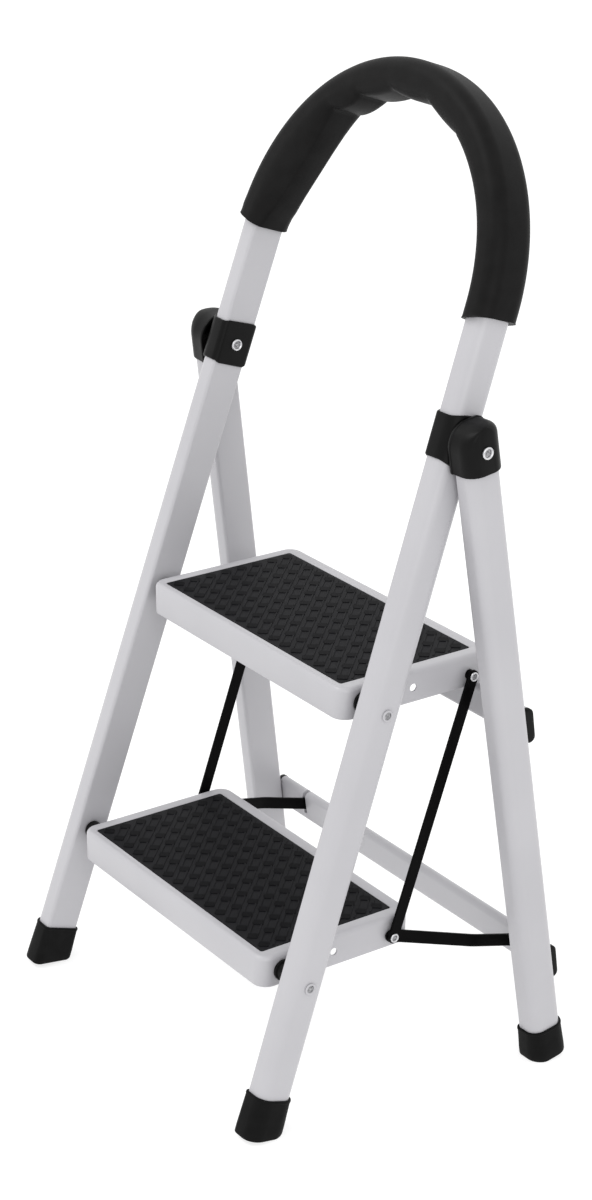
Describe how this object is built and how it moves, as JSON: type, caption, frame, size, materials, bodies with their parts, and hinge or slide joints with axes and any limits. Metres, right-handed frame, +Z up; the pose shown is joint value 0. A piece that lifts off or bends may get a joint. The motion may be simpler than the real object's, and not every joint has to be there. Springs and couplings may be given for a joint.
{
  "type": "folding step stool",
  "caption": "Folding two-step stool with a tall hoop handrail, foam grip, matted trays, linked rear legs and moulded hinge caps and feet.",
  "frame": {"origin": "middle of the whole stool's box, on the floor, with the stool standing open", "axes": "+Z up, +X to the right of a person facing the steps' back from the rear frame's far side, -Y towards the person who climbs, steps symmetric about X = 0"},
  "size_m": [0.5212, 0.371, 0.9699],
  "materials": {
    "powder_coat": "satin light grey powder coat on steel tube and sheet",
    "foam": "closed-cell foam sleeve, matt with a soft sheen",
    "foot_rubber": "moulded rubber, matt",
    "mat_rubber": "embossed anti-slip mat",
    "black_plastic": "moulded nylon, fine grain",
    "black_steel": "black enamel on flat steel bar",
    "zinc_steel": "bright zinc plate"
  },
  "bodies": {
    "front_frame": {"front_frame_tube": "powder_coat", "handrail_grip": "foam", "front_foot_left": "foot_rubber", "front_foot_right": "foot_rubber", "hinge_sleeve_left": "black_plastic", "hinge_sleeve_right": "black_plastic", "hinge_rivet_left": "zinc_steel", "hinge_rivet_right": "zinc_steel", "lower_step_rivet_left": "zinc_steel", "lower_step_rivet_right": "zinc_steel", "upper_step_rivet_left": "zinc_steel", "upper_step_rivet_right": "zinc_steel", "lower_step_spacer_left": "black_plastic", "lower_step_spacer_right": "black_plastic", "upper_step_spacer_left": "black_plastic", "upper_step_spacer_right": "black_plastic"},
    "rear_frame": {"rear_leg_left": "powder_coat", "rear_leg_right": "powder_coat", "hinge_cap_left": "black_plastic", "hinge_cap_right": "black_plastic", "rear_foot_left": "foot_rubber", "rear_foot_right": "foot_rubber", "lower_crossbar_plug_left": "black_plastic", "lower_crossbar_plug_right": "black_plastic", "upper_crossbar_plug_left": "black_plastic", "upper_crossbar_plug_right": "black_plastic", "lower_crossbar": "powder_coat", "upper_crossbar": "powder_coat"},
    "upper_step": {"upper_step_tray": "powder_coat", "upper_step_mat": "mat_rubber", "upper_link_rivet_left": "zinc_steel", "upper_link_rivet_right": "zinc_steel", "link_washer_left": "black_steel", "link_washer_right": "black_steel"},
    "lower_step": {"lower_step_tray": "powder_coat", "lower_step_mat": "mat_rubber", "lower_link_rivet_left": "zinc_steel", "lower_link_rivet_right": "zinc_steel"},
    "long_link_left": {"long_link_left": "black_steel"},
    "long_link_right": {"long_link_right": "black_steel"},
    "short_link_left": {"short_link_left": "black_steel"},
    "short_link_right": {"short_link_right": "black_steel"}
  },
  "joints": [
    {"name": "rear_frame_fold", "type": "hinge", "parent": "front_frame", "child": "rear_frame", "pos_m": [0, 0.0612, 0.6601], "axis": [-1, 0, 0], "range_deg": [0, 23.5]},
    {"name": "upper_step_fold", "type": "hinge", "parent": "front_frame", "child": "upper_step", "pos_m": [0, -0.0245, 0.4098], "axis": [1, 0, 0], "range_deg": [0, 64.09]},
    {"name": "lower_step_fold", "type": "hinge", "parent": "front_frame", "child": "lower_step", "pos_m": [0, -0.11351, 0.1498], "axis": [1, 0, 0], "range_deg": [0, 64.09]},
    {"name": "long_link_pivot_left", "type": "hinge", "parent": "upper_step", "child": "long_link_left", "pos_m": [0, 0.1045, 0.4063], "axis": [-1, 0, 0], "range_deg": [0, 64.09]},
    {"name": "short_link_pivot_left", "type": "hinge", "parent": "lower_step", "child": "short_link_left", "pos_m": [0, 0.01549, 0.1463], "axis": [1, 0, 0], "range_deg": [-140.56, 0]},
    {"name": "long_link_pivot_right", "type": "hinge", "parent": "upper_step", "child": "long_link_right", "pos_m": [0, 0.1045, 0.4063], "axis": [-1, 0, 0], "range_deg": [0, 64.09]},
    {"name": "short_link_pivot_right", "type": "hinge", "parent": "lower_step", "child": "short_link_right", "pos_m": [0, 0.01549, 0.1463], "axis": [1, 0, 0], "range_deg": [-140.56, 0]}
  ],
  "couplings": [
    {"joint": "upper_step_fold", "follows": "rear_frame_fold", "ratio": 2.7268},
    {"joint": "lower_step_fold", "follows": "rear_frame_fold", "ratio": 2.7268},
    {"joint": "long_link_pivot_left", "follows": "rear_frame_fold", "ratio": 2.7268},
    {"joint": "short_link_pivot_left", "follows": "rear_frame_fold", "ratio": -5.9807},
    {"joint": "long_link_pivot_right", "follows": "rear_frame_fold", "ratio": 2.7268},
    {"joint": "short_link_pivot_right", "follows": "rear_frame_fold", "ratio": -5.9807}
  ]
}
